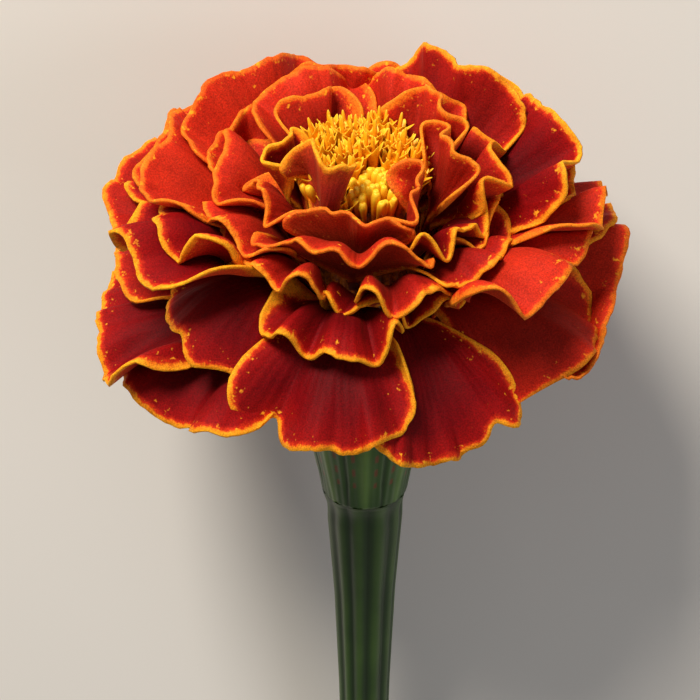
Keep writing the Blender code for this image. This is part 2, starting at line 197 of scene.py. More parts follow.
PETALS = [
    # skirt: the lowest whorl, which droops over the cup at the front and lies on the surface at the back
    petal("skirt_back", 176, 25.0, 1.0, -25, 0.3, phase=0.7),
    petal("skirt_low_right", 104, 24.0, 5.0, -25, 0.4, fan=48, phase=0.6),
    petal("skirt_low_front", 2, 14.5, 1.6, -60, 0.5, fan=50, start=65, rise=0.45, phase=0.4),
    petal("skirt_front_left", -60, 24.0, 2.2, -55, 0.6, fan=45, start=70, rise=0.45, phase=0.6),
    petal("skirt_low_right_front", 45, 17.0, 1.2, -55, 0.9, fan=38, start=65, rise=0.45, phase=0.1),
    petal("skirt_back_left", -148, 26.0, 3.0, -20, 1.0, phase=0.2),
    petal("skirt_left", -86, 27.4, 4.2, -30, 1.2, fan=45, phase=0.5),
    petal("skirt_back_right", 145, 26.5, 3.5, -20, 1.4, phase=0.4),
    petal("skirt_left_back", -117, 27.0, 8.0, -15, 2.4, phase=0.8, orange=0.3),
    petal("skirt_right", 84, 26.8, 13.0, -25, 3.0, fan=41, waves=3, phase=0.7, orange=0.75),
    # lower whorl
    petal("lower_back", 168, 24.0, 8.0, -10, 4.0, phase=0.1, orange=0.2),
    petal("lower_back_left", -160, 24.0, 11.0, 0, 4.5, phase=0.6, orange=0.4),
    petal("lower_right_back", 118, 26.0, 14.0, 0, 5.2, fan=48, phase=0.9, orange=0.3),
    petal("skirt_right_front", 63, 24.0, 8.0, -45, 6.4, fan=38, start=65, rise=0.45, phase=0.2,
          orange=0.4),
    petal("skirt_front_right", 25, 20.0, 0.4, -64, 7.0, fan=42, start=62, rise=0.5, carry=0.5, waves=2,
          phase=0.8, ruffle=0.7, notches=((0.45, 0.10, 0.10),)),
    petal("lower_front_left", -55, 21.4, 9.4, -58, 7.4, fan=40, start=65, rise=0.5, carry=0.5, phase=0.4,
          notches=((-0.1, 0.1, 0.12),)),
    petal("skirt_front", -13, 20.8, 3.4, -60, 7.8, fan=45, start=62, rise=0.5, carry=0.5, phase=0.1,
          cup=-0.02, notches=((-0.42, 0.14, 0.09),)),
    petal("lower_front", -14, 17.4, 12.2, -35, 8.6, fan=52, start=62, rise=0.42, waves=3.5, phase=0.0),
    # middle whorl
    petal("middle_left", -80, 25.0, 18.0, -25, 7.9, fan=44, waves=3, phase=0.9,
          notches=((-0.3, 0.14, 0.12),)),
    petal("middle_left_back", -108, 26.0, 18.4, 5, 6.6, fan=42, orange=0.3),
    petal("middle_back", -178, 21.0, 17.0, 5, 7.2, phase=0.5, orange=0.4),
    petal("middle_right_front", 64, 22.6, 17.4, -25, 7.6, fan=44, waves=3, phase=0.5, orange=0.7,
          notches=((0.1, 0.12, 0.1),)),
    petal("middle_back_right", 147, 21.0, 20.0, 10, 8.0, phase=0.2, orange=0.4),
    petal("middle_front", 6, 12.6, 15.0, -30, 9.3, fan=58, waves=3),
    petal("middle_front_right", 33, 14.0, 14.2, -35, 9.1, fan=46, waves=3),
    petal("middle_back_left", -120, 23.0, 22.0, 25, 8.2, fan=45, orange=0.7),
    petal("middle_right", 96, 24.6, 18.4, -5, 8.4, fan=38, roll=-14, phase=0.2, orange=0.6),
    petal("middle_right_back", 121, 22.0, 21.5, 25, 8.8, fan=46, orange=0.3),
    # upper whorl
    petal("upper_left", -80, 21.0, 20.2, -15, 9.2, fan=42, waves=3, phase=0.1,
          notches=((-0.25, 0.15, 0.1),)),
    petal("upper_front_right", 26, 15.3, 16.8, -30, 9.8, fan=50, waves=3, orange=0.2),
    petal("upper_front_left", -50, 15.4, 17.5, -30, 10.0, fan=50, waves=3, orange=0.4),
    petal("upper_right_back", 114, 20.0, 26.0, 45, 9.6, fan=50, waves=3),
    petal("upper_left_back", -102, 21.0, 24.4, 34, 10.2, fan=42, orange=0.8),
    petal("upper_right_front", 58, 15.7, 18.2, -20, 10.4, fan=48, orange=0.2),
    petal("upper_back", -174, 16.5, 25.2, 50, 10.6, fan=44, phase=0.8, orange=0.8),
    petal("upper_back_left", -136, 18.3, 27.6, 55, 10.9, fan=50, orange=0.9),
    petal("upper_back_right", 141, 15.4, 29.0, 68, 11.4, fan=44, orange=0.15),
    # crown: the ring round the eye
    petal("crown_left_front", -72, 15.7, 20.2, -10, 11.8, fan=46, start=50, orange=0.7),
    petal("crown_right_front", 79, 13.4, 20.6, 0, 12.0, fan=46, start=50, orange=0.4),
    petal("crown_front", -12, 12.2, 21.0, 0, 12.2, fan=58, flat=0.7, waves=2.4, phase=0.6, start=58,
          ruffle=0.8, orange=0.8),
    petal("crown_left_back", -117, 14.6, 25.0, 45, 12.9, fan=46, start=50, orange=0.8),
    petal("crown_back", -171, 13.6, 27.6, 60, 13.0, fan=44, start=50, orange=0.8),
    petal("crown_right", 52, 13.0, 20.4, 5, 13.6, fan=52, flat=0.4, waves=3, cup=0.08, start=55),
    petal("crown_left", -98, 15.0, 23.5, 10, 14.0, fan=50, waves=2, start=50, orange=0.8),
    petal("crown_back_right", 157, 12.0, 27.6, 40, 14.2, fan=46, start=50, orange=0.7),
    petal("crown_right_back", 95, 13.6, 24.6, 45, 14.6, fan=46, waves=3, start=50, orange=0.3),
    petal("crown_back_left", -150, 13.0, 27.2, 30, 14.8, fan=46, start=50, orange=0.8),
    # heart: small inner petals that stand half folded against the eye
    petal("heart_front", -10, 9.2, 23.6, 60, 15.0, fan=56, flat=0.8, waves=2, phase=0.6, start=64,
          ruffle=0.6, orange=0.9),
    petal("heart_left_front", -70, 11.6, 23.0, 20, 15.8, fan=44, waves=2, start=70, orange=0.7),
    petal("heart_back_right", 124, 9.0, 28.6, 70, 16.0, fan=40, cup=0.1, start=70, orange=0.6),
    petal("heart_right", 82, 8.6, 27.2, 80, 16.4, fan=38, start=70, roll=35,
          folds=((0.5, 0, 10, 0.6, 85),), orange=0.6),
    petal("heart_back_left", -140, 9.4, 27.8, 60, 16.6, fan=40, cup=0.1, start=70, orange=0.7),
    petal("heart_right_front", 40, 9.2, 25.6, 62, 16.8, fan=44, start=70, roll=15,
          folds=((0.8, 0, -8, 0.7, 70),), orange=0.8),
    petal("heart_folded_front", -38, 7.6, 28.4, 88, 17.2, fan=50, start=76, roll=-45,
          folds=((0.3, 0, 4, 0.5, 120),), ruffle=0.6, orange=0.1),
    petal("heart_left", -84, 8.4, 27.0, 76, 17.4, fan=36, start=72, roll=-40,
          folds=((1.4, 0, 0, 0.6, 60),), ruffle=0.6),
]

CLAW_ROWS = 4
BLADE_ROWS = 28
COLUMNS = 64
COARSER = 2  # the petals are cleared of each other on a grid this many times coarser


def bundle_radius(height):
    heights, radii = zip(*BUNDLE)
    return float(np.interp(height, heights, radii))


def ease(low, high, value):
    t = np.clip((value - low) / (high - low), 0, 1)
    return t * t * (3 - 2 * t)


def midline(p):
    """Points, directions and lengths along the petal's middle, in (distance from axis, height)."""
    foot = np.array([bundle_radius(p["foot"]) + SEAT_GAP + PETAL_THICKNESS / 2, p["foot"]])
    tip = np.array([p["reach"], p["height"]])
    chord = np.linalg.norm(tip - foot)
    start, end = math.radians(p["start"]), math.radians(p["tip"])
    leave = foot + p["rise"] * chord * np.array([math.cos(start), math.sin(start)])
    arrive = tip - p["carry"] * chord * np.array([math.cos(end), math.sin(end)])
    t = np.linspace(0, 1, 65)[:, None]
    line = (1 - t) ** 3 * foot + 3 * (1 - t) ** 2 * t * leave + 3 * (1 - t) * t**2 * arrive + t**3 * tip
    along = np.gradient(line, axis=0)
    along /= np.linalg.norm(along, axis=1)[:, None]
    lengths = np.concatenate([[0], np.cumsum(np.linalg.norm(np.diff(line, axis=0), axis=1))])
    return line, along, lengths


def uneven(place, step, seed):
    """Smooth irregular swings between -1 and 1 along a line, about one every two steps."""
    swings = np.random.default_rng(seed).uniform(-1, 1, 200)
    at = place / step + 100
    low = np.floor(at).astype(int)
    return swings[low] + (swings[low + 1] - swings[low]) * ease(0, 1, at - low)


def seed_of(p):
    return int(p["turn"] * 10 + 4000 + p["foot"] * 7)


def blade_outline(p, across, length):
    """How far the blade reaches at each place across its fan, in mm: lobed, with shallow teeth."""
    flatter = 1 + p["flat"] * (1 / np.cos(across * math.radians(p["fan"])) - 1)
    outline = length * (1 - CORNER_ROUNDING * np.abs(across) ** 6) * flatter
    for place, depth, width in p["notches"]:
        outline = outline * (1 - depth * np.exp(-(((across - place) / width) ** 2)))
    rim = across * math.radians(p["fan"]) * length
    size = min(length / 16, 1)
    lobes = 0.9 * size * uneven(rim, 4.2 * size, seed_of(p))
    teeth = 0.24 * uneven(rim, 1.2, seed_of(p) + 1) + 0.08 * uneven(rim, 0.5, seed_of(p) + 2)
    return outline + lobes + teeth


def flat_petal(p, length):
    """The petal laid flat: each point's place across and along, share of the way out, and margin."""
    across = np.linspace(-1, 1, COLUMNS + 1)
    fan = math.radians(p["fan"])
    claw = CLAW_SHARE * length
    reach = blade_outline(p, across, length - claw)
    x, y, share = [], [], []
    for row in range(CLAW_ROWS):
        x.append(CLAW_HALF_WIDTH * across)
        y.append(np.full_like(across, claw * row / CLAW_ROWS))
        share.append(np.zeros_like(across))
    for row in range(BLADE_ROWS + 1):
        s = (row / BLADE_ROWS) ** 0.85
        x.append(CLAW_HALF_WIDTH * across * (1 - s) + reach * s * np.sin(across * fan))
        y.append(claw + reach * s * np.cos(across * fan))
        share.append(np.full_like(across, s))
    x, y, share = np.array(x), np.array(y), np.array(share)
    spots = x + 1j * y
    rim = np.concatenate([spots[CLAW_ROWS:, 0], spots[-1], spots[:CLAW_ROWS:-1, -1]])
    at = np.linspace(0, len(rim) - 1, 4 * len(rim))
    rim = np.interp(at, np.arange(len(rim)), rim)
    margin = np.abs(spots[..., None] - rim).min(axis=-1)
    margin[:CLAW_ROWS] += 0.5
    return x, y, share, margin


def fold(x, y, lift, folds):
    """Bends the flat petal up about straight lines."""
    for across, along, direction, radius, angle in folds:
        heading = math.radians(direction)
        ux, uy = math.sin(heading), math.cos(heading)
        past = (x - across) * uy - (y - along) * ux  # distance to the right of the line
        turned = np.clip(past / radius, 0, math.radians(angle))
        left = np.maximum(past - radius * math.radians(angle), 0)
        beyond = past > 0
        flat_side = np.where(beyond, (radius - lift) * np.sin(turned) + left * np.cos(turned), past)
        up_side = np.where(beyond, radius - (radius - lift) * np.cos(turned) + left * np.sin(turned), lift)
        x, y = x + (flat_side - past) * uy, y - (flat_side - past) * ux
        lift = up_side
    return x, y, lift


def petal_grid(p):
    """The petal's middle surface as rows of points in the head's frame, its upper side, and its marks."""
    line, along, lengths = midline(p)
    x, y, share, margin = flat_petal(p, lengths[-1])
    across = np.broadcast_to(np.linspace(-1, 1, COLUMNS + 1), x.shape)
    marks = {"margin": margin, "across": across * math.radians(p["fan"]), "along": y.copy()}
    slow = ease(0.25, 1, share) * p["ruffle"]
    lift = slow * np.sin(math.tau * (p["waves"] * across / 2 + p["phase"]))
    lift = lift + 0.45 * slow * np.sin(math.tau * (p["waves"] * 0.83 * across + 1.7 * p["phase"] + 0.3))
    rim = across * math.radians(p["fan"]) * lengths[-1]
    size = min(lengths[-1] / 18, 1)
    lift = lift + ease(0.55, 1, share) * p["frill"] * size * uneven(rim, 2.4, seed_of(p) + 3)
    lift = lift + ease(0.80, 1, share) * 0.36 * p["frill"] * uneven(rim, 1.0, seed_of(p) + 4)
    x, y, lift = fold(x, y, lift, p["folds"])
    if p["cup"]:
        bow = abs(p["cup"])
        lift = lift + math.copysign(1, p["cup"]) * (1 - np.cos(bow * x)) / bow
        x = np.sin(bow * x) / bow
    held = np.clip(y, 0, lengths[-1])
    slope_out = np.interp(held, lengths, along[:, 0])
    slope_up = np.interp(held, lengths, along[:, 1])
    out = np.interp(held, lengths, line[:, 0]) + (y - held) * slope_out
    up = np.interp(held, lengths, line[:, 1]) + (y - held) * slope_up
    roll = math.radians(p["roll"]) * ease(0, 0.5, held / lengths[-1])
    side = x * np.cos(roll) - lift * np.sin(roll)
    lift = x * np.sin(roll) + lift * np.cos(roll)
    out, up = out - slope_up * lift, up + slope_out * lift
    turn = math.radians(p["turn"])
    ahead = np.array([math.sin(turn), -math.cos(turn), 0])
    sideways = np.array([math.cos(turn), math.sin(turn), 0])
    axis = np.array([0, 0, 1])
    grid = out[..., None] * ahead + side[..., None] * sideways + up[..., None] * axis
    upward = slope_out[..., None] * axis - slope_up[..., None] * ahead
    return grid, upward, marks


def triangles_of(rows, columns, first=0):
    """Corner numbers of a grid's triangles, facing the petal's upper side."""
    corner = np.arange(rows * columns).reshape(rows, columns) + first
    a, b, c, d = corner[:-1, :-1], corner[1:, :-1], corner[1:, 1:], corner[:-1, 1:]
    return np.concatenate([np.stack([a, b, c], -1).reshape(-1, 3), np.stack([a, c, d], -1).reshape(-1, 3)])


def relaxed(needed, rounds=12):
    """The smoothest shift over the grid that is nowhere less than needed and leaves the foot in place."""
    shift = needed.copy()
    for _ in range(rounds):
        edge = np.pad(shift, 1, mode="edge")
        around = (edge[:-2, 1:-1] + edge[2:, 1:-1] + edge[1:-1, :-2] + edge[1:-1, 2:]) / 4
        shift = np.maximum(needed, around)
        shift[0] = 0
    return shift


def between(values, finer):
    """The grid with places added between its own."""
    for axis in (0, 1):
        count = values.shape[axis]
        place = np.linspace(0, count - 1, (count - 1) * finer + 1)
        low = np.minimum(place.astype(int), count - 2)
        share = (place - low).reshape((-1, 1) if axis == 0 else (1, -1))
        values = np.take(values, low, axis) * (1 - share) + np.take(values, low + 1, axis) * share
    return values


def laid_under(grid, upward, tree, gap, reach=5.0, rounds=3):
    """How far each point of a petal moves away from its upper side to clear every petal above it."""
    shift = np.zeros(grid.shape[:2])
    for _ in range(rounds):
        needed = np.zeros_like(shift)
        for place in np.ndindex(needed.shape):
            direction = Vector(upward[place]).normalized()
            start = Vector(grid[place] - shift[place] * upward[place]) - reach * direction
            _, _, _, distance = tree.ray_cast(start, direction, reach + gap)
            if distance is not None and place[0] > 0:
                needed[place] = reach + gap - distance
        if not needed.any():
            break
        shift = shift + relaxed(needed)
    return shift


def clear_of_bundle(grid):
    """Keeps a petal outside the bundle of florets."""
    distance = np.hypot(grid[..., 0], grid[..., 1])
    least = np.interp(grid[..., 2], *zip(*BUNDLE)) + PETAL_THICKNESS
    inside = (distance < least) & (grid[..., 2] < EYE_TOP)
    scale = np.where(inside, least / distance, 1)
    return grid * np.stack([scale, scale, np.ones_like(scale)], axis=-1)


def pressed_by_floor(grid):
    """Bends whatever would reach below the surface flat against it."""
    down = np.array([0, math.cos(math.radians(LEAN)), -math.sin(math.radians(LEAN))])
    height = HEAD.translation.z / MM - grid @ down
    soft = FLOOR_SOFTNESS
    rest = PETAL_THICKNESS / 2 + 0.05 + soft
    pressed = np.where(height < rest, rest - soft + soft * np.exp((height - rest) / soft), height)
    return grid + (height - pressed)[..., None] * down


def stack_petals():
    """Every petal's grid, each laid under the ones that stand above it on the bundle."""
    stacked, corners, faces = [], [], []
    for p in sorted(PETALS, key=lambda one: -one["foot"]):
        grid, upward, marks = petal_grid(p)
        grid = clear_of_bundle(grid)
        rough, rough_upward = grid[::COARSER, ::COARSER], upward[::COARSER, ::COARSER]
        if corners:
            tree = BVHTree.FromPolygons([Vector(c) for c in corners], faces)
            shift = laid_under(rough, rough_upward, tree, PETAL_THICKNESS + PETAL_GAP)
            grid = grid - between(shift, COARSER)[..., None] * upward
        grid = pressed_by_floor(grid)
        rough = grid[::COARSER, ::COARSER]
        faces += triangles_of(*rough.shape[:2], first=len(corners)).tolist()
        corners += rough.reshape(-1, 3).tolist()
        stacked.append((p, grid, marks))
    return stacked


# ----------------------------------------------------------------------------------------------------
# Materials
# ----------------------------------------------------------------------------------------------------

PER_MM = 1000.0  # texture scale that gives one feature a millimetre


def petal_tissue(name, stops, orange_colour, sheen_tint, fleck_colour):
    """Ray petal skin, grown: soft conical cells give it a velvety bloom, fine veins fan out from the claw,
    and the red pigment stops short of the margin, which leaves an uneven gold edge with flecks beside it.
    On top of that, painted shade darkens the throat, and each petal's orange partly paints light and shade."""
    made, tree = new_material(name)
    places = add(tree, "TexCoord").outputs["Object"]
    margin = add(tree, "Attribute", attribute_name="margin").outputs["Fac"]
    across = add(tree, "Attribute", attribute_name="across").outputs["Fac"]
    along = add(tree, "Attribute", attribute_name="along").outputs["Fac"]
    orange = add(tree, "Attribute", attribute_name="orange").outputs["Fac"]

    # The stops run over the outer 8 mm, and their place wanders by up to 0.45 mm
    ragged = {"Vector": places, "Scale": PER_MM / 0.9, "Detail": 3.0, "Roughness": 0.6}
    ragged = add(tree, "TexNoise", ragged)
    ragged = add(tree, "Math", {0: ragged.outputs["Fac"], 1: 0.5}, operation="SUBTRACT")
    edge = add(tree, "Math", {0: ragged.outputs[0], 1: 0.9, 2: margin}, operation="MULTIPLY_ADD")
    edge = add(tree, "Math", {0: edge.outputs[0], 1: 8.0}, operation="DIVIDE")
    blush = add(tree, "ValToRGB", {"Fac": edge.outputs[0]}, stops=stops)

    # Orange petals take their colour in clouds about 4 mm across. How orange a petal is is partly its own
    # tone
    # and partly painted light: petals that lie in the light get more orange-red, and petals in shade stay
    # deep red
    cloud = add(tree, "TexNoise", {"Vector": places, "Scale": PER_MM / 4.0, "Detail": 2.0})
    orange_and_painted_light = add(tree, "Math", {0: cloud.outputs["Fac"], 1: 0.8, 2: 0.35}, operation="MULTIPLY_ADD")
    orange_and_painted_light = add(tree, "Math", {0: orange_and_painted_light.outputs[0], 1: orange}, operation="MULTIPLY")
    colour = add(
        tree,
        "Mix",
        {"Factor": orange_and_painted_light.outputs[0], "A": blush.outputs["Color"], "B": linear(orange_colour)},
        data_type="RGBA",
    )

    # Veins about 1 mm apart at the rim and closer towards the claw, over broader folds
    wander = add(tree, "TexNoise", {"Vector": places, "Scale": PER_MM / 3.0, "Detail": 2.0})
    vein = add(tree, "Math", {0: wander.outputs["Fac"], 1: 0.06, 2: across}, operation="MULTIPLY_ADD")
    vein = add(tree, "Math", {0: vein.outputs[0], 1: 95.0}, operation="MULTIPLY")
    vein = add(tree, "Math", {0: vein.outputs[0]}, operation="SINE")
    broad = add(tree, "Math", {0: across, 1: 26.0}, operation="MULTIPLY")
    broad = add(tree, "Math", {0: broad.outputs[0]}, operation="SINE")
    ridges = add(tree, "Math", {0: broad.outputs[0], 1: 1.6, 2: vein.outputs[0]}, operation="MULTIPLY_ADD")
    shade = add(tree, "Math", {0: ridges.outputs[0], 1: 0.022, 2: 0.95}, operation="MULTIPLY_ADD")
    # Skin cells are about 0.03 mm, drawn 0.16 mm so that they show
    cells = add(tree, "TexNoise", {"Vector": places, "Scale": PER_MM / 0.16, "Detail": 1.0})
    grain = {0: cells.outputs["Fac"], 1: 1.3, 2: shade.outputs[0]}
    grain = add(tree, "Math", grain, operation="MULTIPLY_ADD")
    grain = add(tree, "Math", {0: grain.outputs[0], 1: 0.62}, operation="SUBTRACT")
    # Painted shade: the throat, deep among the other petals, is darker for its first 13 mm, but the margin
    # isn't
    throat = {"Value": along, "From Min": 2.0, "From Max": 13.0, "To Min": 0.32, "To Max": 1.0}
    throat = add(tree, "MapRange", throat)
    rim = {"Value": margin, "From Min": 0.4, "From Max": 1.6, "To Min": 1.0, "To Max": 0.0}
    rim = add(tree, "MapRange", rim)
    throat = add(tree, "Math", {0: throat.outputs["Result"], 1: rim.outputs["Result"]}, operation="MAXIMUM")
    depth = add(tree, "Math", {0: grain.outputs[0], 1: throat.outputs[0]}, operation="MULTIPLY")
    shaded = add(tree, "HueSaturation", {"Color": colour.outputs["Result"], "Value": depth.outputs[0]})

    # Flecks of bare gold about 0.5 mm across, mostly in the outer 3 mm
    spots = {"Vector": places, "Scale": PER_MM / 0.8, "Detail": 2.0, "Roughness": 0.7}
    spots = add(tree, "TexNoise", spots)
    near = {"Value": margin, "From Min": 0.5, "From Max": 3.5, "To Min": 0.60, "To Max": 0.78}
    near = add(tree, "MapRange", near)
    fleck = add(tree, "Math", {0: spots.outputs["Fac"], 1: near.outputs["Result"]}, operation="SUBTRACT")
    fleck = add(tree, "Math", {0: fleck.outputs[0], 1: 9.0}, operation="MULTIPLY", use_clamp=True)
    skin = add(
        tree,
        "Mix",
        {"Factor": fleck.outputs[0], "A": shaded.outputs["Color"], "B": linear(fleck_colour)},
        data_type="RGBA",
    )

    relief = {0: cells.outputs["Fac"], 1: 2.5, 2: ridges.outputs[0]}
    relief = add(tree, "Math", relief, operation="MULTIPLY_ADD")
    bump = add(tree, "Bump", {"Height": relief.outputs[0], "Strength": 0.4, "Distance": 0.04 * MM})
    shader = add(
        tree,
        "BsdfPrincipled",
        {
            "Base Color": skin.outputs["Result"],
            "Roughness": 0.68,
            "IOR": 1.42,
            "Specular IOR Level": 0.14,
            "Sheen Weight": 0.04,
            "Sheen Roughness": 0.45,
            "Subsurface Weight": 0.2,
            "Subsurface Radius": (1.0, 0.3, 0.1),
            "Subsurface Scale": 0.5 * MM,
            "Sheen Tint": linear(sheen_tint),
            "Normal": bump.outputs["Normal"],
        },
    )
    finish_material(tree, shader)
    return made


def floret_tissue():
    """Tube floret skin, grown: waxy golden yellow, lemon at the lobes, deeper orange down in the eye."""
    made, tree = new_material("golden_floret_tissue")
    places = add(tree, "TexCoord").outputs["Object"]
    tipped = add(tree, "Attribute", attribute_name="tipped").outputs["Fac"]
    cells = add(tree, "TexNoise", {"Vector": places, "Scale": PER_MM / 0.35, "Detail": 2.0})
    mixed = add(tree, "Math", {0: cells.outputs["Fac"], 1: 0.4, 2: tipped}, operation="MULTIPLY_ADD")
    mixed = add(tree, "Math", {0: mixed.outputs[0], 1: 0.2}, operation="SUBTRACT")
    stops = ((0.0, "#5E2206"), (0.3, "#DE7A0A"), (0.55, "#FDB010"), (1.0, "#FFD02C"))
    colour = add(tree, "ValToRGB", {"Fac": mixed.outputs[0]}, stops=stops)
    bump = add(tree, "Bump", {"Height": cells.outputs["Fac"], "Strength": 0.4, "Distance": 0.04 * MM})
    shader = add(
        tree,
        "BsdfPrincipled",
        {
            "Base Color": colour.outputs["Color"],
            "Roughness": 0.45,
            "IOR": 1.42,
            "Subsurface Weight": 0.08,
            "Subsurface Radius": (1.0, 0.5, 0.1),
            "Subsurface Scale": 0.4 * MM,
            "Normal": bump.outputs["Normal"],
        },
    )
    finish_material(tree, shader)
    return made


def green_skin(name, deep, fresh, pale, gland):
    """Stalk and bract skin, grown: smooth waxy green, cloudy, with paler ribs and dark oil glands."""
    made, tree = new_material(name)
    places = add(tree, "TexCoord").outputs["Object"]
    rib = add(tree, "Attribute", attribute_name="rib").outputs["Fac"]
    spot = add(tree, "Attribute", attribute_name="gland").outputs["Fac"]
    cloud = add(tree, "TexNoise", {"Vector": places, "Scale": PER_MM / 5.0, "Detail": 3.0})
    mixed = add(tree, "Math", {0: cloud.outputs["Fac"], 1: 0.5, 2: rib}, operation="MULTIPLY_ADD")
    mixed = add(tree, "Math", {0: mixed.outputs[0], 1: 0.25}, operation="SUBTRACT")
    stops = ((0.0, deep), (0.45, fresh), (1.0, pale))
    colour = add(tree, "ValToRGB", {"Fac": mixed.outputs[0]}, stops=stops)
    dotted = {"Factor": spot, "A": colour.outputs["Color"], "B": linear(gland)}
    dotted = add(tree, "Mix", dotted, data_type="RGBA")
    cells = add(tree, "TexNoise", {"Vector": places, "Scale": PER_MM / 0.3, "Detail": 2.0})
    bump = add(tree, "Bump", {"Height": cells.outputs["Fac"], "Strength": 0.25, "Distance": 0.05 * MM})
    shader = add(
        tree,
        "BsdfPrincipled",
        {
            "Base Color": dotted.outputs["Result"],
            "Roughness": 0.42,
            "IOR": 1.45,
            "Coat Weight": 0.08,
            "Coat Roughness": 0.3,
            "Normal": bump.outputs["Normal"],
        },
    )
    finish_material(tree, shader)
    return made


def board_face():
    """Uncoated board under the flower, rolled: matt and pale, so it only takes soft shadows."""
    made, tree = new_material("matt_pale_board")
    shader = add(tree, "BsdfPrincipled", {"Base Color": linear("#DEDBD5"), "Roughness": 0.85})
    finish_material(tree, shader)
    return made


UPPER_STOPS = (
    (0.0, "#FCAA20"),
    (0.045, "#F48C1A"),
    (0.07, "#C62C10"),
    (0.12, "#920A0A"),
    (0.40, "#740208"),
    (1.0, "#4A0005"),
)
UNDER_STOPS = (
    (0.0, "#FCAA20"),
    (0.05, "#F4901C"),
    (0.09, "#D2481C"),
    (0.30, "#B82A1E"),
    (0.65, "#A02A18"),
    (1.0, "#8C3014"),
)
PETAL_UPPER = petal_tissue("velvet_petal_upper_skin", UPPER_STOPS, "#DE361A", "#FF7A4A", "#F8A422")
PETAL_UNDER = petal_tissue("pale_petal_under_skin", UNDER_STOPS, "#E64C24", "#FFB070", "#F0A030")
FLORET = floret_tissue()
CUP_SKIN = green_skin("waxy_bract_skin", "#1E3311", "#34541D", "#5E7F35", "#6B3B12")
STALK_SKIN = green_skin("waxy_stalk_skin", "#16280C", "#263F16", "#4C6A2B", "#2A1A0A")
PITH = green_skin("cut_pith", "#8FA05E", "#B9C489", "#DDE2B8", "#8FA05E")
BOARD = board_face()


# ----------------------------------------------------------------------------------------------------
# Pieces
# ----------------------------------------------------------------------------------------------------


def make_piece(name, points, faces, materials, marks=None, slots=None):
    """A mesh piece from points of the head's frame, with values for its points and its faces' materials."""
    mesh = bpy.data.meshes.new(name)
    mesh.from_pydata(on_table(points).tolist(), [], faces)
    for mark, values in (marks or {}).items():
        attribute = mesh.attributes.new(mark, "FLOAT", "POINT")
        attribute.data.foreach_set("value", np.ravel(values).astype(np.float32))
    for one in materials:
        mesh.materials.append(one)
    if slots is not None:
        mesh.polygons.foreach_set("material_index", slots)
    mesh.shade_smooth()
    mesh.update()
    made = bpy.data.objects.new(name, mesh)
    bpy.context.scene.collection.objects.link(made)
    return made


def stand_for(piece, node):
    """The piece rides on the flower's one body and is shown in place of its node."""
    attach(piece, "root")
    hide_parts(node)


def quads_of(rows, columns, closed=False, first=0):
    """Faces of a grid; closed joins its last column to its first."""
    last = columns if closed else columns - 1
    faces = []
    for row in range(rows - 1):
        for column in range(last):
            a, b = first + row * columns + column, first + row * columns + (column + 1) % columns
            faces.append((a, b, b + columns, a + columns))
    return faces


def make_cup():
    """Eight bracts grown together into a ribbed cup, with free tips and oil glands beside the keels."""
    around, rows = 192, 60
    angle = np.arange(around) * math.tau / around
    bract = BRACT_TIPS * angle / math.tau
    aside = np.abs((bract + 0.5) % 1 - 0.5) * 2  # 0 on a bract's keel, 1 where it meets its neighbour
    top = -BRACT_NOTCH_DEPTH * aside**1.25
    keel = np.exp(-((aside / 0.28) ** 2))
    seam = np.exp(-(((1 - aside) / 0.10) ** 2))
    points, ribs, glands = [], [], []
    for row in range(rows + 1):
        share = row / rows
        height = top * (1 - share) ** 2 + (-CUP_LENGTH) * share + (1 - share) * share * 0.6
        radius = np.interp(-height, *zip(*CUP))
        swell = ease(0, 0.25, 1 - share)
        ribbing = swell * (KEEL_HEIGHT * keel - SEAM_DEPTH * seam)
        radius = radius + ribbing + 0.03 * np.cos(5 * math.tau * bract)
        radius = radius - TIP_LEAN_IN * ease(0.0, 1.0, 1 + height / 2.5) * (1 - aside)
        points.append(np.stack([radius * np.cos(angle), radius * np.sin(angle), height], -1))
        ribs.append(0.35 + 0.5 * keel - 0.35 * seam + 0.25 * (1 - share))
        row_of = (-height - 2.2) / GLAND_SPACING
        in_row = np.abs(row_of - np.round(row_of)) * GLAND_SPACING
        beside = np.abs(aside - 0.55) * CUP_BELLY * math.pi / BRACT_TIPS
        spot = np.clip(1.6 - (in_row / GLAND_HALF_LENGTH) ** 2 - (beside / GLAND_HALF_WIDTH) ** 2, 0, 1)
        glands.append(spot * (-height > 1.2) * (-height < 13))
    points = np.array(points)
    piece = make_piece(
        "bract_cup_shell",
        points.reshape(-1, 3),
        [face[::-1] for face in quads_of(rows + 1, around, closed=True)],
        [CUP_SKIN],
        {"rib": np.array(ribs), "gland": np.array(glands)},
    )
    wall = piece.modifiers.new("wall", "SOLIDIFY")
    wall.thickness = CUP_WALL * MM
    wall.offset = -1
    stand_for(piece, "bract_cup")


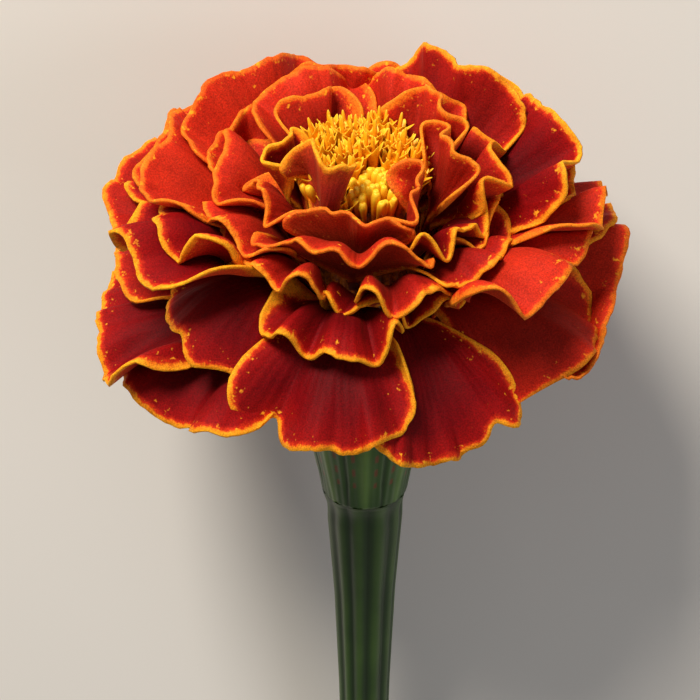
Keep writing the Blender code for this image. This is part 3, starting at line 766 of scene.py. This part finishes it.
def make_stalk():
    """A grooved stalk that swells under the cup and is cut square at its end, which shows the pale pith."""
    around, rows = 120, 110
    angle = np.arange(around) * math.tau / around
    groove = (0.5 + 0.5 * np.cos(STALK_RIBS * angle + 0.5 * np.sin(3 * angle))) ** 0.6
    top = -CUP_LENGTH - 0.02
    points, ribs = [], []
    for row in range(rows + 1):
        down = STALK_LENGTH * row / rows + SEAT_GAP * row / rows
        radius = np.interp(down, *zip(*STALK))
        collar = 0.22 * math.exp(-((down / 0.9) ** 2)) - 0.12 * math.exp(-(((down - 2.2) / 1.2) ** 2))
        depth = 0.05 + 0.05 * min(down / 15, 1)
        radius = (radius + collar) * (1 - depth * (1 - groove))
        height = np.full(around, top - down)
        points.append(np.stack([radius * np.cos(angle), radius * np.sin(angle), height], -1))
        ribs.append(0.15 + 0.6 * groove)
    rim = points[-1]
    skin_rows = len(points)
    for share, sunk, pale in CUT_FACE:
        points.append(np.stack([rim[:, 0] * share, rim[:, 1] * share, rim[:, 2] + sunk], -1))
        ribs.append(np.full(around, pale))
    points = np.array(points)
    faces = [face[::-1] for face in quads_of(len(points), around, closed=True)]
    cap = list(range((len(points) - 1) * around, len(points) * around))
    lid = list(range(around))
    slots = [int(index // around >= skin_rows - 1) for index in range(len(faces))] + [1, 0]
    piece = make_piece(
        "cut_stalk",
        points.reshape(-1, 3),
        [*faces, cap, lid[::-1]],
        [STALK_SKIN, PITH],
        {"rib": np.array(ribs), "gland": np.zeros((len(points), around))},
        slots,
    )
    stand_for(piece, "stalk")


def make_tube_bundle():
    """The tubes of the ray florets, packed side by side between the cup and the blades of the petals."""
    around, rows = 144, 40
    angle = np.arange(around) * math.tau / around
    tube = np.abs(np.cos(12 * angle))
    points, tipped = [], []
    for height in np.linspace(-5.6, 20.5, rows + 1):
        radius = bundle_radius(height) - 0.45 + 0.42 * tube**0.7
        if height > 18:
            radius = radius - (height - 18) * 0.5
        ring = np.stack([radius * np.cos(angle), radius * np.sin(angle), np.full(around, height)], -1)
        points.append(ring)
        tipped.append((0.22 - 0.16 * ease(0, 12, height)) * (0.6 + 0.4 * tube))
    points = np.array(points)
    faces = quads_of(rows + 1, around, closed=True)
    faces.append(list(range(rows * around, (rows + 1) * around)))
    faces.append(list(range(around))[::-1])
    marks = {"tipped": np.array(tipped)}
    piece = make_piece("ray_tube_bundle", points.reshape(-1, 3), faces, [FLORET], marks)
    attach(piece, "root")


class Florets:
    """Gathers the points, faces and colour marks of many small florets for one mesh."""

    def __init__(self):
        self.points, self.faces, self.tipped, self.count = [], [], [], 0

    def tube(self, foot, lean, spin, rings):
        """Rings of (radius, height, mark) functions of the angle round a floret's own axis."""
        side = lean.orthogonal().normalized()
        other = lean.cross(side)
        around = len(rings[0][0])
        for radius, height, mark in rings:
            angle = spin + np.arange(around) * math.tau / around
            out = radius * np.cos(angle)
            across = radius * np.sin(angle)
            ring = (
                np.array(foot)
                + out[:, None] * np.array(side)
                + across[:, None] * np.array(other)
                + np.asarray(height)[:, None] * np.array(lean)
            )
            self.points.append(ring)
            self.tipped.append(np.broadcast_to(mark, around))
        self.faces += quads_of(len(rings), around, closed=True, first=self.count)
        self.count += around * len(rings)
        return self.count - around

    def close(self, first, around):
        self.faces.append(tuple(range(first, first + around)))


LOBES = 5


def open_floret(made, foot, lean, length, spin, spread, size):
    """A trumpet with five pointed lobes and the anthers standing in its mouth."""
    around = LOBES * 4
    place = (np.arange(around) * LOBES / around) % 1
    lobe = np.cos(math.tau * place) * 0.5 + 0.5
    pointed = lobe**1.1
    tube, throat = 0.30 * size, 0.58 * size
    flat = np.ones(around)
    rings = [(tube * 0.8 * flat, 0 * flat, 0.10)]
    rings.append((tube * flat, length * 0.6 * flat, 0.25))
    rings.append((throat * flat, length * 0.86 * flat, 0.45))
    for step, mark in ((0.35, 0.6), (0.7, 0.85), (1.0, 1.0)):
        reach = step * pointed * size
        rings.append(
            (
                throat + (0.10 * step + reach * math.sin(spread) * 0.85) * flat - 0.12 * step * (1 - lobe),
                length * 0.86 + reach * math.cos(spread) * 1.15 + 0.10 * step,
                mark,
            )
        )
    made.tube(foot, lean, spin, rings)
    # The anthers stand as a slim column, darker at its foot
    ring = np.ones(6)
    column = [
        (0.20 * size * ring, length * 0.62 * ring, 0.35),
        (0.24 * size * ring, length * 0.95 * ring, 0.45),
        (0.17 * size * ring, (length + 0.35 * size) * ring, 0.62),
        (0.04 * size * ring, (length + 0.55 * size) * ring, 0.75),
    ]
    made.close(made.tube(foot, lean, spin, column), 6)


# A closed floret from its tube to its head: (share of the length, radius, colour mark)
BUD = ((0.0, 0.24, 0.0), (0.60, 0.30, 0.2), (0.76, 0.46, 0.5), (0.88, 0.60, 0.8), (0.97, 0.52, 0.95))


def bud(made, foot, lean, length, spin, size):
    """A closed floret: a slim tube with a grooved, blunt head."""
    around = LOBES * 3
    place = (np.arange(around) * LOBES / around) % 1
    swell = 1 - 0.16 * (0.5 - 0.5 * np.cos(math.tau * place)) ** 2
    flat = np.ones(around)
    rings = [(radius * size * swell, share * length * flat, mark) for share, radius, mark in BUD]
    rings.append((0.30 * size * swell, length * flat + 0.10 * size, 1.0))
    rings.append((0.08 * size * swell, length * flat + 0.02 * size, 0.8))
    made.close(made.tube(foot, lean, spin, rings), around)


EYE_MIDDLE = (-0.6, 0.0)
EYE_RADIUS = 6.2
FLORET_COUNT = 104
BUD_CLUSTERS = ((1.2, -3.3, 3.0), (-4.9, -3.0, 1.2))  # (middle to the right, middle to the back, radius)
BUD_SPACING = 0.66
FLORET_FOOT = 17.5  # height at which the drawn florets start, hidden between the petals
FLORET_DRAW_IN = 0.72  # how much nearer to the axis their feet are than their heads
FLORET_WALL = 0.09
GOLDEN_ANGLE = math.radians(137.508)


def spiral(middle, radius, count):
    """Places in the spiral that florets grow in."""
    for index in range(count):
        distance = radius * math.sqrt((index + 0.5) / count)
        turn = index * GOLDEN_ANGLE
        yield middle[0] + distance * math.cos(turn), middle[1] + distance * math.sin(turn)


def make_eye():
    """Open tube florets round the back and the sides, and clusters of buds still closed at the front."""
    chance = np.random.default_rng(7)
    opened, closed = Florets(), Florets()

    def stance(x, y):
        x, y = x + chance.normal(0, 0.08), y + chance.normal(0, 0.08)
        outward = Vector((x, y, 0)) * (0.045 + 0.01 * chance.random())
        lean = (Vector((0, 0, 1)) + outward + Vector(chance.normal(0, 0.05, 3))).normalized()
        foot = Vector((x * FLORET_DRAW_IN, y * FLORET_DRAW_IN, FLORET_FOOT))
        return foot, lean, chance.uniform(0, math.tau)

    for x, y in spiral(EYE_MIDDLE, EYE_RADIUS, FLORET_COUNT):
        if any(math.hypot(x - right, y - back) < radius for right, back, radius in BUD_CLUSTERS):
            continue
        foot, lean, spin = stance(x, y)
        top = 24.2 + 2.4 * ease(-4, 5, y) - 0.02 * (x * x + y * y) + chance.uniform(-0.7, 0.7)
        spread = math.radians(chance.uniform(18, 55))
        open_floret(opened, foot, lean, top - foot.z, spin, spread, chance.uniform(1.0, 1.3))
    for right, back, radius in BUD_CLUSTERS:
        for x, y in spiral((right, back), radius, int(3.4 * (radius / BUD_SPACING) ** 2)):
            if math.hypot(x, y) > EYE_RADIUS + 0.3:
                continue
            foot, lean, spin = stance(x, y)
            away = math.hypot(x - right, y - back) / radius
            top = 24.7 - 1.8 * away**2 + chance.uniform(-0.3, 0.3)
            bud(closed, foot, lean, top - foot.z, spin, chance.uniform(0.72, 0.92))
    for name, made in (("open_tube_florets", opened), ("closed_floret_buds", closed)):
        marks = {"tipped": np.concatenate(made.tipped)}
        piece = make_piece(name, np.concatenate(made.points), made.faces, [FLORET], marks)
        if name == "open_tube_florets":
            leaf = piece.modifiers.new("leaf", "SOLIDIFY")
            leaf.thickness = FLORET_WALL * MM
            leaf.offset = -1
            stand_for(piece, "eye_florets")
        else:
            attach(piece, "root")
        smooth = piece.modifiers.new("smooth", "SUBSURF")
        smooth.levels = smooth.render_levels = 1


def make_petals():
    """Every petal as one thin sheet, dark red above and paler below."""
    for p, grid, marks in stack_petals():
        rows, columns = grid.shape[:2]
        values = {**marks, "orange": np.full(grid.shape[:2], p["orange"])}
        piece = make_piece(
            p["name"] + "_petal",
            grid.reshape(-1, 3),
            [face[::-1] for face in quads_of(rows, columns)],
            [PETAL_UPPER, PETAL_UNDER],
            values,
        )
        thick = piece.modifiers.new("thickness", "SOLIDIFY")
        thick.thickness = PETAL_THICKNESS * MM
        thick.offset = 0
        thick.material_offset = 1
        thick.use_rim = True
        stand_for(piece, "petal_" + p["name"])


make_petals()
make_cup()
make_stalk()
make_tube_bundle()
make_eye()


# ----------------------------------------------------------------------------------------------------
# Surface, lights and camera
# ----------------------------------------------------------------------------------------------------

VIEW_ELEVATION = 35.0  # above the level of the head, as the flower faces the camera
VIEW_DISTANCE = 300.0
VIEW_WIDTH = 72.2  # what the camera sees at that distance, mm
VIEW_TARGET = (-1.55, 0, 1.3)
SENSOR = 36.0
BOARD_HALF = 1.5  # metres, so that its edge lies far outside the view
# (name, place in metres, width in metres, watts, colour): the key lamp stands past the flower's face
LAMPS = (
    ("key_softbox", (-0.22, 0.52, 0.36), 0.24, 5.4, "#FFF6EA"),
    ("fill_softbox", (0.45, -0.05, 0.45), 0.45, 0.75, "#F4F6FF"),
)


def set_scene():
    floor_mesh = bpy.data.meshes.new("board")
    corners = [(BOARD_HALF * x, BOARD_HALF * y, 0) for x, y in ((-1, -1), (1, -1), (1, 1), (-1, 1))]
    floor_mesh.from_pydata(corners, [], [(0, 1, 2, 3)])
    floor_mesh.materials.append(BOARD)
    floor = bpy.data.objects.new("board", floor_mesh)
    bpy.context.scene.collection.objects.link(floor)

    world = bpy.data.worlds.new("studio")
    world.use_nodes = True
    sky = world.node_tree.nodes["Background"]
    sky.inputs["Color"].default_value = linear("#F3F1EE")
    sky.inputs["Strength"].default_value = 0.22
    bpy.context.scene.world = world

    middle = Vector((0, 0.02, 0.022))
    for name, place, width, power, colour in LAMPS:
        light = bpy.data.lights.new(name, "AREA")
        light.shape = "DISK"
        light.size = width
        light.energy = power
        light.color = linear(colour)[:3]
        lamp = bpy.data.objects.new(name, light)
        lamp.location = place
        lamp.rotation_euler = (Vector(place) - middle).to_track_quat("Z", "Y").to_euler()
        bpy.context.scene.collection.objects.link(lamp)

    view = math.radians(VIEW_ELEVATION)
    target = Vector(VIEW_TARGET) * MM
    toward = Vector((0, -math.cos(view), math.sin(view)))
    lens = bpy.data.cameras.new("camera")
    lens.sensor_width = SENSOR
    lens.lens = SENSOR * VIEW_DISTANCE / VIEW_WIDTH
    lens.clip_start = 0.01
    camera = bpy.data.objects.new("camera", lens)
    bpy.context.scene.collection.objects.link(camera)
    turn = HEAD.to_3x3()
    back = turn @ toward
    up = turn @ Vector((0, math.sin(view), math.cos(view)))
    right = up.cross(back)
    stands = HEAD @ (target + VIEW_DISTANCE * MM * toward)
    facing = Matrix((right, up, back)).transposed().to_4x4()
    camera.matrix_world = Matrix.Translation(stands) @ facing
    bpy.context.scene.camera = camera


set_scene()
bpy.context.scene.view_settings.view_transform = "Standard"
